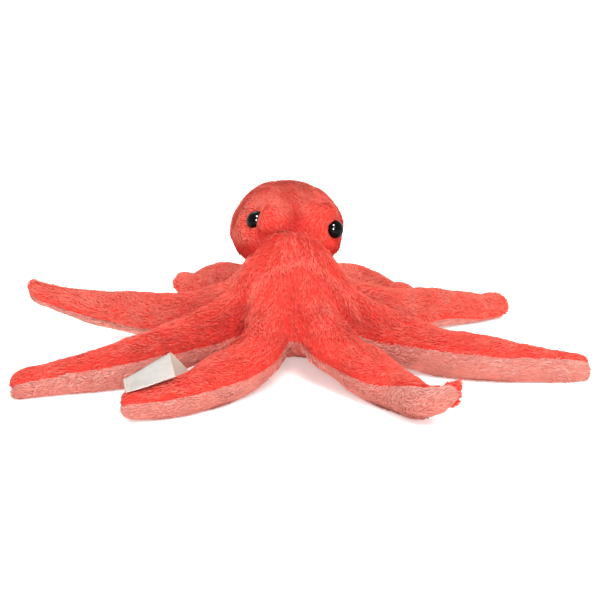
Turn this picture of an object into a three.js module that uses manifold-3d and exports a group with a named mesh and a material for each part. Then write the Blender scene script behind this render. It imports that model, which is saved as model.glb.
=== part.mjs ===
// A small plush octopus that lies on a table: a bell-shaped trunk that runs out into eight tapered
// arms, an egg-shaped mantle lying back over the trunk's crown, two brow mounds, two plastic eyes,
// and a folded tape label sewn into one arm's seam.
// Millimetres, +Z up. The face looks towards -Y. Left and right are the toy's own, so left is +X.
// The origin is the middle of the footprint, on the table.
import * as THREE from "three";
import { mergeVertices } from "three/addons/utils/BufferGeometryUtils.js";
import Module from "manifold-3d";

const wasm = await Module();
wasm.setup();

const { clamp, lerp, smoothstep } = THREE.MathUtils;
const vector = (x, y, z) => new THREE.Vector3(x, y, z);
const GAP = 0.3; // between pieces that touch
const DEGREE = Math.PI / 180;

// ---- Driving dimensions ----
const ARM_COUNT = 8;
const CROTCH_RADIUS = 38; // where neighbouring arms part
const SEAM_HEIGHT = 18; // of the crotch, where the top fabric meets the underside
const ARM_RADIUS = 15; // at the root
const TIP_RADIUS = 6.7;
const TIP_ROUND = 0.86; // 1 would bring the tip to a point
const TAPER = 1.5; // the power of the arm's taper
const ROOT_RISE = 8.4; // how much higher an arm's top stands at its root
const ROOT_HOLLOW = 8.5; // how much shallower its underside is there
const ROOT_SHARE = 0.4; // the share of the arm over which the rise fades
const HOLLOW_SHARE = 0.5; // and the share over which the hollow does
const FLOOR_SINK = 1.5; // how far a round arm is pressed flat where it lies on the table

// Each arm leaves the web at the angle middle, from the front and + to the left. course is its
// heading at equal steps after that, the last at its tip. lift raises its middle and tipLift its
// tip off the table, and a larger curl keeps that lift to the tip. roll turns it about its own
// length, at its middle and at its tip, and + brings the underside to the left of its run.
const ARMS = {
  front_left: {
    middle: 26.5,
    length: 104,
    course: [38, 33, 32, 32, 126],
    tipLift: 13.4,
    curl: 6.6,
    roll: [-6, -104],
  },
  side_left: { middle: 71.5, length: 120.5, course: [68, 83, 102], roll: [-22, -58] },
  rear_left: {
    middle: 116.5,
    length: 118,
    course: [140, 125, 123],
    lift: 2.5,
    tipLift: 1.5,
    roll: [34, 50],
  },
  back_left: { middle: 161.5, length: 108, course: [150, 138, 137], lift: 10.8, roll: [25, 35] },
  back_right: {
    middle: -153.5,
    length: 113,
    course: [-159, -149, -142],
    lift: 10.7,
    tipLift: 5.5,
    roll: [-25, -35],
  },
  rear_right: {
    middle: -108.5,
    length: 121,
    course: [-122, -107, -93],
    lift: 2,
    tipLift: 20.5,
    roll: [-28, -34],
  },
  side_right: { middle: -63.5, length: 115, course: [-50, -77, -62], lift: 1.4, roll: [20, 26] },
  front_right: { middle: -18.5, length: 98, course: [-35, -47, -88], tipLift: 2.5, roll: [4, 20] },
};
const LENGTHS = { root: [0, 0.33], middle: [0.33, 0.66], tip: [0.66, 1] };

// The web is a bell that falls from the crown to the skirt. The crown leans to the face by lean,
// and the web drops further between the arms. The belly under it stands clear of the table.
const BELL = { crown: 71.5, skirt: 36, waist: 22.5, power: 3.5, lean: 3 };
const VALLEY = { power: 6.5, rounding: 8 };
const BELLY = { height: 3.5, power: 2.2 };

// The mantle lies back from the face, and is turned and rolled a little to its left.
const MANTLE = {
  centre: vector(-2, 24, 65),
  halfLength: 37,
  halfWidth: 30,
  top: 24,
  bottom: 23,
  yaw: 12,
  pitch: 8,
  roll: 6,
  bluntness: 0.9,
};

// Each eye and brow has its place on the mantle: along its axis from the front pole, and around it
// from the left, both in degrees. An eye's turn draws its axis towards the front, and a brow's spin
// is how far its long side leans from the mantle's axis.
const FACE = {
  left: { eye: [47, 15], turn: 0.4, brow: [53, 46], spin: -60 },
  right: { eye: [62, 138], turn: -0.15, brow: [50, 119], spin: -10 },
};
const EYE = { radius: 4.7, dome: 3.6, depth: 1.4, sunk: 0.9 };
const BROW = { halfLength: 8.5, halfWidth: 6.5, height: 4.6 };

// The tape is sewn into the back seam of an arm over the stretch along, stands up from it and
// folds over to the front. back and front are its two layers, up to the fold and down from it, at
// either end of that stretch.
const LABEL = {
  arm: "front_right",
  along: [0.5, 0.8],
  back: [vector(-10.1, -14.4, 17.1), vector(-13.9, -7, 11.2)],
  front: [vector(4.4, -15.8, -8.2), vector(2.7, -11.2, -3.6)],
  fold: 0.12,
  thickness: 0.7,
  clearance: 1.2,
};

// ---- Helpers ----
const planDirection = (degrees) => vector(Math.sin(degrees * DEGREE), -Math.cos(degrees * DEGREE), 0);
const middleOf = (points) =>
  points.reduce((sum, point) => sum.add(point), vector(0, 0, 0)).divideScalar(points.length);

function geometryOf(points, triangles) {
  const geometry = new THREE.BufferGeometry().setFromPoints(points);
  geometry.setIndex(triangles);
  return geometry;
}

// Rings of equal counts of points joined into a closed skin, with a fan over each end.
function skinOf(rings) {
  const count = rings[0].length;
  const last = rings.length - 1;
  const points = [...rings.flat(), middleOf(rings[0]), middleOf(rings[last])];
  const start = rings.length * count;
  const triangles = [];
  for (let i = 0; i < count; i++) {
    const next = (i + 1) % count;
    for (let row = 0; row < last; row++) {
      const a = row * count + i;
      const b = row * count + next;
      triangles.push(a, b, a + count, b, b + count, a + count);
    }
    triangles.push(next, i, start);
    triangles.push(last * count + i, last * count + next, start + 1);
  }
  return geometryOf(points, triangles);
}

// The same shape with its shared corners merged.
function mergedShape(geometry) {
  const bare = geometry.clone();
  bare.deleteAttribute("normal");
  bare.deleteAttribute("uv");
  return mergeVertices(bare, 1e-3);
}

function solidOf(geometry) {
  const merged = mergedShape(geometry);
  return new wasm.Manifold(
    new wasm.Mesh({
      numProp: 3,
      vertProperties: new Float32Array(merged.attributes.position.array),
      triVerts: new Uint32Array(merged.index.array),
    }),
  );
}

function geometryFrom(solid) {
  const mesh = solid.getMesh();
  const geometry = new THREE.BufferGeometry();
  geometry.setAttribute("position", new THREE.BufferAttribute(mesh.vertProperties, 3));
  geometry.setIndex(new THREE.BufferAttribute(mesh.triVerts, 1));
  return geometry;
}

// A shape as a cutting tool: larger all over by the gap that touching pieces keep.
function cutterOf(geometry) {
  const merged = mergedShape(geometry);
  merged.computeVertexNormals();
  const { position, normal } = merged.attributes;
  for (let i = 0; i < position.count; i++) {
    const out = vector(0, 0, 0).fromBufferAttribute(normal, i).multiplyScalar(GAP);
    const place = vector(0, 0, 0).fromBufferAttribute(position, i).add(out);
    position.setXYZ(i, ...place.toArray());
  }
  return solidOf(merged);
}

// ---- Arms ----
const PATH_STEPS = 60;
const HALF_SECTION = 8; // facets over the top of an arm, and as many under it
const LENGTH_ROWS = 5;
const ROOT_DISTANCE = CROTCH_RADIUS * Math.cos(Math.PI / ARM_COUNT);
const ROOT_HALF_WIDTH = CROTCH_RADIUS * Math.sin(Math.PI / ARM_COUNT);

for (const arm of Object.values(ARMS))
  arm.headings = new THREE.SplineCurve([arm.middle, ...arm.course].map((h) => new THREE.Vector2(h, 0)));
const heading = (arm, t) => arm.headings.getPoint(t).x;

// Where the arm's middle line is in plan, found by walking along its heading.
function planPoint(arm, t) {
  const place = planDirection(arm.middle).multiplyScalar(ROOT_DISTANCE);
  const step = t / PATH_STEPS;
  for (let i = 0; i < PATH_STEPS; i++)
    place.addScaledVector(planDirection(heading(arm, (i + 0.5) * step)), arm.length * step);
  return place;
}

// The arm's radius: a tapering tube that ends in a blunt round tip.
const tubeRadius = (t) => lerp(ARM_RADIUS, TIP_RADIUS, t ** TAPER);

function armRadius(arm, t) {
  const tipShare = TIP_RADIUS / arm.length;
  const past = Math.max(0, (t - 1 + tipShare) / tipShare);
  return tubeRadius(t) * Math.sqrt(1 - TIP_ROUND * past ** 2.5);
}

function armRoll({ roll = [0, 0] }, t) {
  const toMiddle = smoothstep(t, 0, 0.5);
  const toTip = smoothstep(t, 0.5, 1);
  return DEGREE * lerp(roll[0] * toMiddle, roll[1], toTip);
}

// The closed ring of an arm's skin at t, from its left seam over the top and back underneath. The
// round tip keeps its middle as high as the tube's.
function armRing(arm, t) {
  const { lift = 0, tipLift = 0, curl = 3 } = arm;
  const radius = armRadius(arm, t);
  const fade = Math.max(0, 1 - t / ROOT_SHARE) ** 2;
  const halfWidth = radius + (ROOT_HALF_WIDTH - ARM_RADIUS) * fade;
  const top = radius + ROOT_RISE * fade;
  const hollow = ROOT_HOLLOW * Math.max(0, 1 - t / HOLLOW_SHARE) ** 2;
  const roll = armRoll(arm, t);
  const section = [];
  for (let i = 0; i < 2 * HALF_SECTION; i++) {
    const angle = (i * Math.PI) / HALF_SECTION;
    const height = (i < HALF_SECTION ? top : radius - hollow) * Math.sin(angle);
    section.push(new THREE.Vector2(halfWidth * Math.cos(angle), height).rotateAround({ x: 0, y: 0 }, roll));
  }
  const lowest = (Math.min(...section.map(({ y }) => y)) * tubeRadius(t)) / radius - hollow;
  const raised = lift * Math.sin(Math.PI * Math.min(1, t * 1.2)) + tipLift * t ** curl;
  const rootRaised = (SEAM_HEIGHT - ARM_RADIUS + FLOOR_SINK) * fade;
  const level = raised + rootRaised - FLOOR_SINK - lowest;
  const along = planDirection(heading(arm, t));
  const side = vector(-along.y, along.x, 0);
  const centre = planPoint(arm, t);
  return section.map(({ x, y }) => centre.clone().addScaledVector(side, x).setZ(Math.max(0, level + y)));
}

// One length of an arm, with the rows drawn together towards the round tip.
function armPiece(arm, [from, to]) {
  const isTip = to === 1;
  const start = from + (from === 0 ? GAP : GAP / 2) / arm.length;
  const end = isTip ? 1 : to - GAP / 2 / arm.length;
  const rings = [];
  for (let row = 0; row <= LENGTH_ROWS; row++) {
    const share = row / LENGTH_ROWS;
    rings.push(armRing(arm, lerp(start, end, isTip ? Math.sin((share * Math.PI) / 2) : share)));
  }
  return skinOf(rings);
}

// ---- Trunk ----
const WEB_ROWS = 10;
const BELLY_ROWS = 4;

const bellHeight = (radius) =>
  BELL.skirt + (BELL.crown - BELL.skirt) / (1 + (radius / BELL.waist) ** BELL.power);
const valleyDepth = bellHeight(CROTCH_RADIUS) - SEAM_HEIGHT;

// One line of the web, from the crown down to a point on an arm's root ring. Near the crown the
// valleys between arms are gentle waves, and at the roots they are the gaps between tubes.
function webLine(root, index) {
  const angle = (index * Math.PI) / HALF_SECTION;
  const gentle = (1 - Math.cos(Math.PI * Math.cos(angle))) / 2;
  const tubular = 1 - Math.sin(angle);
  const line = [];
  for (let row = 0; row < WEB_ROWS; row++) {
    const out = row / WEB_ROWS;
    const valley = valleyDepth * out ** VALLEY.power * lerp(gentle, tubular, out ** VALLEY.rounding);
    const height = bellHeight(out * Math.hypot(root.x, root.y)) - valley;
    line.push(vector(root.x * out, root.y * out - BELL.lean * (1 - out), height));
  }
  return [...line, root];
}

function bellyLine(root) {
  const line = [];
  for (let row = 0; row < BELLY_ROWS; row++) {
    const out = row / BELLY_ROWS;
    line.push(vector(root.x * out, root.y * out, lerp(BELLY.height, root.z, out ** BELLY.power)));
  }
  return [...line, root];
}

// The web above, the belly below and a flat end against each arm, all from the arms' root rings.
function trunkGeometry() {
  const points = [];
  const triangles = [];
  const addStrip = (left, right) => {
    const start = points.length;
    const count = left.length;
    points.push(...left, ...right);
    triangles.push(start, start + 1, start + count + 1);
    for (let i = start + 1; i < start + count - 1; i++)
      triangles.push(i, i + 1, i + count, i + 1, i + count + 1, i + count);
  };
  for (const arm of Object.values(ARMS)) {
    const ring = armRing(arm, 0);
    const count = ring.length;
    for (let i = 0; i < count; i++) {
      const next = (i + 1) % count;
      if (i < HALF_SECTION) addStrip(webLine(ring[next], i + 1), webLine(ring[i], i));
      else addStrip(bellyLine(ring[next]), bellyLine(ring[i]));
    }
    const start = points.length;
    points.push(...ring, middleOf(ring));
    for (let i = 0; i < count; i++) triangles.push(start + i, start + ((i + 1) % count), start + count);
  }
  return geometryOf(points, triangles);
}

// ---- Mantle, brows and eyes ----
const MANTLE_ROWS = 16;
const MANTLE_COLUMNS = 28;

// The mantle's own axes. ahead runs out through the face.
function mantleAxes() {
  const yaw = MANTLE.yaw * DEGREE;
  const pitch = MANTLE.pitch * DEGREE;
  const level = planDirection(MANTLE.yaw);
  const ahead = level.clone().multiplyScalar(Math.cos(pitch)).setZ(-Math.sin(pitch));
  const left = vector(Math.cos(yaw), Math.sin(yaw), 0).applyAxisAngle(ahead, MANTLE.roll * DEGREE);
  return { ahead, left, up: ahead.clone().cross(left) };
}
const AXES = mantleAxes();

// A point of the mantle's skin: along is 0 at the face's pole and 180 at the back, around is 0 at
// the left and 90 on top.
function mantlePoint(along, around) {
  const ring = Math.sin(along * DEGREE) ** MANTLE.bluntness;
  const height = Math.sin(around * DEGREE) * (around < 180 ? MANTLE.top : MANTLE.bottom);
  return MANTLE.centre
    .clone()
    .addScaledVector(AXES.ahead, Math.cos(along * DEGREE) * MANTLE.halfLength)
    .addScaledVector(AXES.left, Math.cos(around * DEGREE) * MANTLE.halfWidth * ring)
    .addScaledVector(AXES.up, height * ring);
}

function mantleGeometry() {
  const rings = [];
  for (let row = 0; row <= MANTLE_ROWS; row++) {
    const along = clamp((row * 180) / MANTLE_ROWS, 0.5, 179.5);
    const ring = [];
    for (let i = MANTLE_COLUMNS; i > 0; i--) ring.push(mantlePoint(along, (i * 360) / MANTLE_COLUMNS));
    rings.push(ring);
  }
  return skinOf(rings);
}

// Sets a shape on the mantle: its Z along the skin's normal, drawn towards the face by turn, and
// its Y along the mantle, turned by spin degrees.
function placedOnMantle(geometry, [along, around], { turn = 0, spin = 0 }) {
  const place = mantlePoint(along, around);
  const back = mantlePoint(along + 1, around).sub(place);
  const over = mantlePoint(along, around + 1).sub(place);
  const normal = back.clone().cross(over).normalize().addScaledVector(AXES.ahead, turn).normalize();
  const across = back.cross(normal).normalize();
  const frame = new THREE.Matrix4().makeBasis(across, normal.clone().cross(across), normal);
  return geometry.rotateZ(spin * DEGREE).applyMatrix4(frame.setPosition(place));
}

// A flat-backed dome, let into the skin.
function eyeGeometry() {
  const { radius, dome, depth, sunk } = EYE;
  const steps = 6;
  const profile = [new THREE.Vector2(0, -depth), new THREE.Vector2(radius * 0.9, -depth)];
  for (let i = 0; i < steps; i++) {
    const angle = (i * Math.PI) / 2 / steps;
    profile.push(new THREE.Vector2(radius * Math.cos(angle), dome * Math.sin(angle)));
  }
  profile.push(new THREE.Vector2(0, dome));
  return new THREE.LatheGeometry(profile, 16).rotateX(Math.PI / 2).translate(0, 0, -sunk);
}

const browGeometry = () =>
  new THREE.SphereGeometry(1, 14, 10).scale(BROW.halfWidth, BROW.halfLength, BROW.height);

// ---- Label ----
const LABEL_ROWS = 12;

// A point of the tape: across is its share of the width, and along runs from the sewn foot, 0,
// over the fold, 0.5, to the free edge, 1. The two layers are the limbs of a hyperbola.
function labelPoint(across, along) {
  const fromFold = 2 * along - 1;
  const bend = Math.hypot(fromFold, LABEL.fold) - LABEL.fold;
  const ring = armRing(ARMS[LABEL.arm], lerp(...LABEL.along, across));
  const up = vector(0, 0, 0).lerpVectors(...LABEL.back, across);
  const down = vector(0, 0, 0).lerpVectors(...LABEL.front, across);
  return ring[HALF_SECTION].clone()
    .setY(ring[HALF_SECTION].y + LABEL.clearance)
    .addScaledVector(up, 1 - (bend - fromFold) / 2)
    .addScaledVector(down, (bend + fromFold) / 2);
}

// The tape's two edges as one grid, given a thickness on both sides and a closed rim.
function labelGeometry() {
  const edges = [];
  for (let i = 0; i <= LABEL_ROWS; i++)
    edges.push([0, 1].map((across) => labelPoint(across, i / LABEL_ROWS)));
  const rings = edges.map(([right, left], i) => {
    const before = edges[Math.max(0, i - 1)][0];
    const after = edges[Math.min(LABEL_ROWS, i + 1)][0];
    const run = after.clone().sub(before);
    const half = run.cross(left.clone().sub(right)).setLength(LABEL.thickness / 2);
    const front = [right, left].map((edge) => edge.clone().sub(half));
    const back = [left, right].map((edge) => edge.clone().add(half));
    return [...front, ...back];
  });
  return skinOf(rings);
}

// ---- The toy ----
const CORAL = { color: 0xf25548, roughness: 0.95 };
const BLACK = { color: 0x0a0a0a, roughness: 0.08 };
const TAPE = { color: 0xe8e0d4, roughness: 0.6 };

const toy = new THREE.Group();
function add(name, geometry, finish) {
  const mesh = new THREE.Mesh(geometry, new THREE.MeshStandardMaterial({ ...finish, metalness: 0 }));
  mesh.name = name;
  toy.add(mesh);
}

const trunk = trunkGeometry();
add("trunk", trunk, CORAL);
for (const [name, arm] of Object.entries(ARMS))
  for (const [part, span] of Object.entries(LENGTHS)) add(`arm_${name}_${part}`, armPiece(arm, span), CORAL);

// The trunk's crown is let into the mantle, and the eyes into shallow sockets.
const mantle = mantleGeometry();
let mantleSolid = solidOf(mantle).subtract(cutterOf(trunk));
for (const [side, face] of Object.entries(FACE)) {
  const eye = placedOnMantle(eyeGeometry(), face.eye, { turn: face.turn });
  const brow = placedOnMantle(browGeometry(), face.brow, { spin: face.spin });
  const mound = solidOf(brow).subtract(cutterOf(mantle)).subtract(cutterOf(trunk)).subtract(cutterOf(eye));
  mantleSolid = mantleSolid.subtract(cutterOf(eye));
  add(`eye_${side}`, eye, BLACK);
  add(`brow_${side}`, geometryFrom(mound), CORAL);
}
add("mantle", geometryFrom(mantleSolid), CORAL);
add("label", labelGeometry(), TAPE);

const box = new THREE.Box3().setFromObject(toy);
const footprint = box.getCenter(vector(0, 0, 0));
toy.position.set(-footprint.x, -footprint.y, -box.min.z);

export default toy;
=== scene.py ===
# %% [markdown]
# # A small plush octopus
#
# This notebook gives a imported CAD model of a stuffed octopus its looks. The real toy is a bag of
# short-pile plush, coral above and pale salmon below, stuffed with loose polyester, with two domed
# plastic eyes and a folded tape label. The CAD solids reach out to the tips of the pile, so each
# skin here lies a little inside them, and short locks of pile fill the difference.
#
# Shapes are worked out in millimetres, with the trunk's axis at X = Y = 0, and one function takes
# them to the model's own frame, in metres.

# %% The frame, and the tools that the whole notebook uses
import math

import bpy
import numpy as np
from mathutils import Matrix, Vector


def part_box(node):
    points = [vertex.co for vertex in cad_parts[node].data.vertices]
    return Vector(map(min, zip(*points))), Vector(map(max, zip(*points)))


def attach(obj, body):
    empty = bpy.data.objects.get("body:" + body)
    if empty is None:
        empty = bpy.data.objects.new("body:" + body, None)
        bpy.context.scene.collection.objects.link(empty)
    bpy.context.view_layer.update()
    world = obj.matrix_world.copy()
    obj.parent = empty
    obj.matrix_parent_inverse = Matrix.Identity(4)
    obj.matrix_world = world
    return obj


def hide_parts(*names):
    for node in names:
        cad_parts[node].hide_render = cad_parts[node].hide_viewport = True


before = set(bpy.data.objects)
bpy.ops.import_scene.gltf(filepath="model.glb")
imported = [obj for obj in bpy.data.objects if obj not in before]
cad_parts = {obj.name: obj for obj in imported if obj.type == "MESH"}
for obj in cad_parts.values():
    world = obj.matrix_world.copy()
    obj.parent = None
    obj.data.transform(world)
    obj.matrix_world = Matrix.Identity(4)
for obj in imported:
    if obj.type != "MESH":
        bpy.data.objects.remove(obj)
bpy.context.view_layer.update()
MM = 0.001
trunk_box = np.array(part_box("trunk"))
trunk_axis = np.array([*trunk_box.mean(axis=0)[:2], 0.0])
print("trunk axis in mm:", np.round(trunk_axis / MM, 2).tolist())

# %% [markdown]
# ## The camera
#
# The toy is seen from the front and a little above, from far enough that its arms don't bulge
# towards the lens. The camera is made first, so that every later step can be looked at. It looks
# along its own -Z, so a turn about X by 90 degrees less the elevation aims it at the toy.

# %% Camera
CAMERA_ELEVATION = math.radians(14)
CAMERA_DISTANCE = 750 * MM
AIM_POINT = np.array([5, 0, 31.9]) * MM + trunk_axis
LENS = 87.4


def new_object(name, data):
    """An object at the scene's origin that holds this data."""
    thing = bpy.data.objects.new(name, data)
    bpy.context.scene.collection.objects.link(thing)
    return thing


lens = bpy.data.cameras.new("camera")
lens.lens = LENS
camera = new_object("camera", lens)
back_and_up = np.array([0, -math.cos(CAMERA_ELEVATION), math.sin(CAMERA_ELEVATION)])
camera.location = AIM_POINT + CAMERA_DISTANCE * back_and_up
camera.rotation_euler = (math.pi / 2 - CAMERA_ELEVATION, 0, 0)
bpy.context.scene.camera = camera
print("camera at", np.round(np.array(camera.location), 3).tolist())

# %% [markdown]
# ## Small helpers for shapes
#
# A surface is a grid of points: rows along it and columns across it. It could be built point by
# point, but whole numpy arrays are quicker and read like the formula. A soft random field makes
# lumps that never repeat, and the same seed always gives the same ones.

# %% Mixing, easing and soft random fields
LATTICE_VALUES = 4096
LATTICE_KEYS = np.array([73856093, 19349663, 83492791])
FAR = 999


def mix(first, second, share):
    """first where share is 0 and second where it is 1, in proportion between."""
    return first + (second - first) * share


def eased(value, start, end):
    """0 before start, 1 after end, and the smooth cubic 3w^2 - 2w^3 between."""
    share = np.clip((value - start) / (end - start), 0, 1)
    return share * share * (3 - 2 * share)


def hump(value, middle, half_width):
    """A smooth bump of height 1: e to the minus square of the distance in half widths."""
    return np.exp(-(((value - middle) / half_width) ** 2))


def unit(vectors):
    """The same directions with length 1."""
    return vectors / np.maximum(np.linalg.norm(vectors, axis=-1, keepdims=True), 1e-12)


def random_field(points, size, seed):
    """Soft random numbers, about -1 to 1, that change over a distance of size: the values at the
    corners of the lattice cell round each point, blended with smooth cubic weights."""
    table = np.random.default_rng(seed).uniform(-1, 1, LATTICE_VALUES)
    place = points / size + seed
    cell = np.floor(place).astype(np.int64)
    share = eased(place - cell, 0, 1)
    total = np.zeros(points.shape[:-1])
    for corner in np.ndindex(2, 2, 2):
        keys = (cell + corner) * LATTICE_KEYS
        value = table[(keys[..., 0] ^ keys[..., 1] ^ keys[..., 2]) % LATTICE_VALUES]
        total += value * np.prod(np.where(corner, share, 1 - share), axis=-1)
    return 1.5 * total


# %% [markdown]
# ## The arms' shape
#
# Each arm is a tapering tube whose middle line wanders over the table. It could follow a curve's
# points, but headings at equal steps keep its length true. Its section is round with a flattened
# sole, and it rolls about its own length, which brings the pale underside into sight on some arms.
# These are the toy's driving sizes, in millimetres and degrees.

# %% Sizes of the trunk and arms
ARM_COUNT = 8
CROTCH_RADIUS = 38
SEAM_HEIGHT = 18
ARM_RADIUS = 15
TIP_RADIUS = 6.7
TAPER = 1.5
ROOT_RISE = 8.4
ROOT_HOLLOW = 8.5
ROOT_SHARE = 0.4
HOLLOW_SHARE = 0.5
FLOOR_SINK = 1.5
ROOT_DISTANCE = CROTCH_RADIUS * math.cos(math.pi / ARM_COUNT)
ROOT_HALF_WIDTH = CROTCH_RADIUS * math.sin(math.pi / ARM_COUNT)

ARMS = {
    "front_left": dict(
        middle=26.5,
        length=104,
        course=(38, 33, 32, 32, 126),
        tip_lift=13.4,
        curl=6.6,
        roll=(-6, -104),
        wrap=90,
    ),
    "side_left": dict(middle=71.5, length=120.5, course=(68, 83, 102), roll=(-22, -58)),
    "rear_left": dict(
        middle=116.5, length=118, course=(140, 125, 123), lift=2.5, tip_lift=1.5, roll=(34, 50)
    ),
    "back_left": dict(middle=161.5, length=108, course=(150, 138, 137), lift=10.8, roll=(25, 35)),
    "back_right": dict(
        middle=-153.5, length=113, course=(-159, -149, -142), lift=10.7, tip_lift=5.5, roll=(-25, -35)
    ),
    "rear_right": dict(
        middle=-108.5, length=121, course=(-122, -107, -93), lift=2, tip_lift=20.5, roll=(-28, -34)
    ),
    "side_right": dict(middle=-63.5, length=115, course=(-50, -77, -62), lift=1.4, roll=(20, 26)),
    "front_right": dict(middle=-18.5, length=98, course=(-35, -47, -88), tip_lift=2.5, roll=(4, 20)),
}


# %% An arm's middle line and ring
WALK_STEPS = 240
FULL_TURN = np.linspace(0, 2 * math.pi, 72, endpoint=False)[None, :]


def plan_direction(degrees):
    """The level unit vector at an angle from the front, + towards the toy's left."""
    turn = np.radians(degrees)
    return np.stack([np.sin(turn), -np.cos(turn), np.zeros_like(turn)], axis=-1)


def heading(arm, t):
    """Degrees from the front at the share t of the arm: a cubic through headings at equal steps,
    whose slope at each is half the difference of its neighbours."""
    turns = np.array([arm["middle"], *arm["course"]], float)
    last = len(turns) - 1
    place = np.clip(t, 0, 1) * last
    step = np.minimum(place.astype(int), last - 1)
    w = place - step
    start, end = turns[step], turns[step + 1]
    slope_in = (end - turns[np.maximum(step - 1, 0)]) / 2
    slope_out = (turns[np.minimum(step + 2, last)] - start) / 2
    cubic = 2 * start - 2 * end + slope_in + slope_out
    square = 3 * end - 3 * start - 2 * slope_in - slope_out
    return ((cubic * w + square) * w + slope_in) * w + start


def plan_point(arm, t):
    """The middle line in plan: the arm's root plus the sum of small steps along its heading."""
    walk = np.linspace(0, 1, WALK_STEPS + 1)
    steps = plan_direction(heading(arm, (walk[1:] + walk[:-1]) / 2)) * arm["length"] / WALK_STEPS
    root = plan_direction(arm["middle"]) * ROOT_DISTANCE
    path = root + np.vstack([np.zeros(3), np.cumsum(steps, axis=0)])
    return np.stack([np.interp(t, walk, path[:, axis]) for axis in range(3)], axis=-1)


def tube_radius(t):
    """The arm's tube, which narrows to the tip with a power of t."""
    return mix(ARM_RADIUS, TIP_RADIUS, t**TAPER)


def arm_radius(arm, t):
    """The tube's radius times the root of 1 - w^2.5 over its last stretch, where w runs from 0 to
    1, which closes the tube with a blunt round end."""
    past = np.clip(1 - (1 - t) * arm["length"] / TIP_RADIUS, 0, 1)
    return tube_radius(t) * np.sqrt(1 - past**2.5)


def root_fade(t):
    """1 at the arm's root, falling as a square to 0 at ROOT_SHARE."""
    return np.clip(1 - t / ROOT_SHARE, 0, 1) ** 2


def root_hollow(t):
    """How much shallower the arm is below near its root, where the belly's arch starts."""
    return ROOT_HOLLOW * np.clip(1 - t / HOLLOW_SHARE, 0, 1) ** 2


def arm_section(arm, t, angle, radius):
    """(across, height) round the arm at t, where angle is 0 at its left seam, half a turn at its
    right one, and between them on top: an oval, shallower below near the root, that is rolled."""
    fade, up = root_fade(t), np.sin(angle)
    tall = np.where(up > 0, radius + ROOT_RISE * fade, radius - root_hollow(t)) * up
    wide = (radius + (ROOT_HALF_WIDTH - ARM_RADIUS) * fade) * np.cos(angle)
    to_middle, to_tip = arm["roll"]
    roll = np.radians(mix(to_middle * eased(t, 0, 0.5), to_tip, eased(t, 0.5, 1)))
    return wide * np.cos(roll) - tall * np.sin(roll), tall * np.cos(roll) + wide * np.sin(roll)


def arm_ring(arm, t, angle):
    """Points round the arm at t. The tube is set down so that its lowest line is FLOOR_SINK under
    the table, less what lifts the arm there, and it is cut flat at the table. The closed end keeps
    the tube's own middle height."""
    across, height = arm_section(arm, t, angle, arm_radius(arm, t))
    whole_section = arm_section(arm, t, FULL_TURN, tube_radius(t))[1]
    lowest = whole_section.min(axis=-1, keepdims=True) - root_hollow(t)
    raised = arm.get("lift", 0) * np.sin(np.pi * np.minimum(1, 1.2 * t))
    raised = raised + arm.get("tip_lift", 0) * t ** arm.get("curl", 3)
    level = raised + (SEAM_HEIGHT - ARM_RADIUS + FLOOR_SINK) * root_fade(t) - FLOOR_SINK - lowest
    side = np.cross([0, 0, 1], plan_direction(heading(arm, t)))
    ring = plan_point(arm, t) + side * across[..., None]
    ring[..., 2] = np.maximum(0, level + height)
    return ring


tips = {name: plan_point(arm, 1.0)[:2].round(1).tolist() for name, arm in ARMS.items()}
print("arm tips in plan, mm:", tips)

# %% [markdown]
# ## The trunk's shape
#
# The trunk is a web of fabric that falls from the head to the arms' roots like a bell, with a
# valley between every two arms. Its belly is an arch that stands clear of the table. A cage of
# control points could shape it, but a formula meets the arms' root rings exactly, so that the skin
# is one closed bag.

# %% The web above and the belly below
CROWN_HEIGHT = 71.5
SKIRT_HEIGHT = 36
WAIST_RADIUS = 22.5
BELL_POWER = 3.5
CROWN_LEAN = 3
VALLEY_POWER = 6.5
VALLEY_ROUNDING = 8
BELLY_HEIGHT = 3.5
BELLY_POWER = 2.2


def bell_height(radius):
    """The skirt's height plus a rise that falls off as 1 / (1 + (radius / waist)^power)."""
    return SKIRT_HEIGHT + (CROWN_HEIGHT - SKIRT_HEIGHT) / (1 + (radius / WAIST_RADIUS) ** BELL_POWER)


VALLEY_DEPTH = bell_height(CROTCH_RADIUS) - SEAM_HEIGHT


def web_point(arm, out, angle):
    """The web from the crown, out = 0, to the arm's root ring, out = 1: the bell's height less a
    valley that is a gentle wave near the crown and the gap between two tubes at the roots."""
    root = arm_ring(arm, np.zeros((1, 1)), angle)
    gentle = (1 - np.cos(np.pi * np.cos(angle))) / 2
    tubular = 1 - np.sin(angle)
    valley = VALLEY_DEPTH * out**VALLEY_POWER * mix(gentle, tubular, out**VALLEY_ROUNDING)
    height = bell_height(out * np.hypot(root[..., 0], root[..., 1])) - valley
    web = root * out[..., None]
    web[..., 1] -= CROWN_LEAN * (1 - out)
    web[..., 2] = mix(height, root[..., 2], eased(out, 0.9, 1))
    return web


def belly_point(arm, out, angle):
    """The belly from its middle, out = 0, to the root ring, rising with a power of out."""
    root = arm_ring(arm, np.zeros((1, 1)), angle)
    belly = root * out[..., None]
    belly[..., 2] = mix(BELLY_HEIGHT, root[..., 2], out**BELLY_POWER)
    return belly


def trunk_gap(points):
    """How far points are above the bell of the trunk, in millimetres, and less under it."""
    lean = CROWN_LEAN * np.clip(1 - np.hypot(points[:, 0], points[:, 1]) / CROTCH_RADIUS, 0, 1)
    radius = np.hypot(points[:, 0], points[:, 1] + lean)
    slope = (bell_height(radius + 0.1) - bell_height(radius - 0.1)) / 0.2
    return (points[:, 2] - bell_height(radius)) / np.hypot(1, slope)


print("valley depth at the crotches, mm:", round(VALLEY_DEPTH, 2))

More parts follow.
